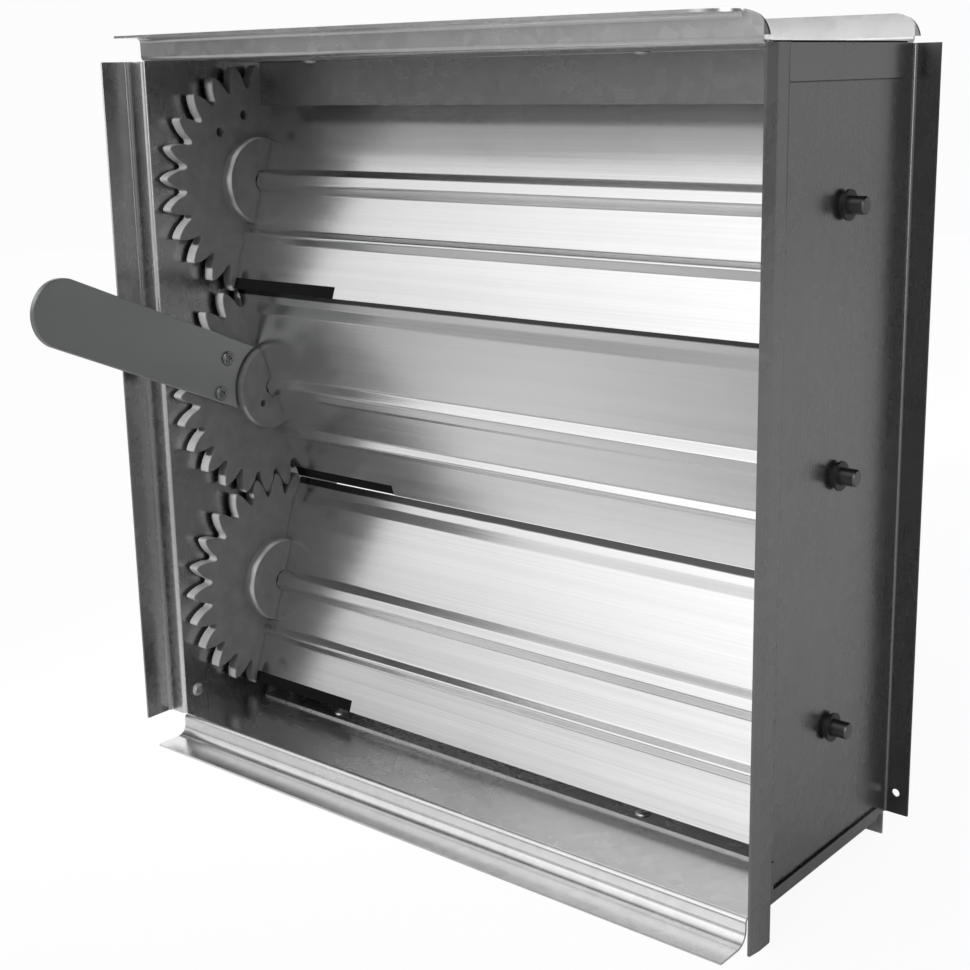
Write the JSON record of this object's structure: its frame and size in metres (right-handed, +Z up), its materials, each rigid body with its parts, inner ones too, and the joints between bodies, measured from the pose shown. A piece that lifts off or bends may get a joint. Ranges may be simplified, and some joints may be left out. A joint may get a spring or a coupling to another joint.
{
  "type": "volume control damper",
  "caption": "Rectangular duct damper with opposed roll-formed blades on geared axles, turned together by a hand lever inside a flanged sheet-metal casing.",
  "frame": {"origin": "centre of the airway, in the plane of the front step faces", "axes": "+X across the duct towards the side away from the gears, +Y along the airflow from front to back, +Z up"},
  "size_m": [0.4064, 0.2239, 0.4014],
  "materials": {
    "casing_sheet": "satin galvanised sheet",
    "stop_sheet": "satin galvanised sheet",
    "blade_sheet": "galvanised sheet with fine lengthwise rolling marks",
    "rivets": "satin",
    "bushes": "matt dark grey nylon",
    "axle_rods": "drawn steel bar",
    "washers": "dull spring steel",
    "gears": "moulded grey nylon, slightly mottled",
    "lever": "smooth satin plate",
    "screws": "zinc plated, bright"
  },
  "bodies": {
    "casing": {"left_side_channel": "casing_sheet", "right_side_channel": "casing_sheet", "top_channel": "casing_sheet", "bottom_channel": "casing_sheet", "top_blade_stop": "stop_sheet", "bottom_blade_stop": "stop_sheet", "stop_rivets": "rivets", "corner_rivets": "rivets", "left_bushes": "bushes", "right_bushes": "bushes"},
    "top_blade": {"blade_top": "blade_sheet", "axle_rod_top": "axle_rods", "retaining_washers_top": "washers", "gear_top": "gears"},
    "middle_blade": {"blade_middle": "blade_sheet", "axle_rod_middle": "axle_rods", "retaining_washers_middle": "washers", "gear_middle": "gears", "hand_lever": "lever", "lever_screws": "screws"},
    "bottom_blade": {"blade_bottom": "blade_sheet", "axle_rod_bottom": "axle_rods", "retaining_washers_bottom": "washers", "gear_bottom": "gears"}
  },
  "joints": [
    {"name": "middle_axle", "type": "hinge", "parent": "casing", "child": "middle_blade", "pos_m": [0, 0.07, 0], "axis": [1, 0, 0], "range_deg": [-20, 70]},
    {"name": "top_axle", "type": "hinge", "parent": "casing", "child": "top_blade", "pos_m": [0, 0.07, 0.12], "axis": [1, 0, 0], "range_deg": [-70, 20]},
    {"name": "bottom_axle", "type": "hinge", "parent": "casing", "child": "bottom_blade", "pos_m": [0, 0.07, -0.12], "axis": [1, 0, 0], "range_deg": [-70, 20]}
  ],
  "couplings": [
    {"joint": "top_axle", "follows": "middle_axle", "ratio": -1},
    {"joint": "bottom_axle", "follows": "middle_axle", "ratio": -1}
  ]
}
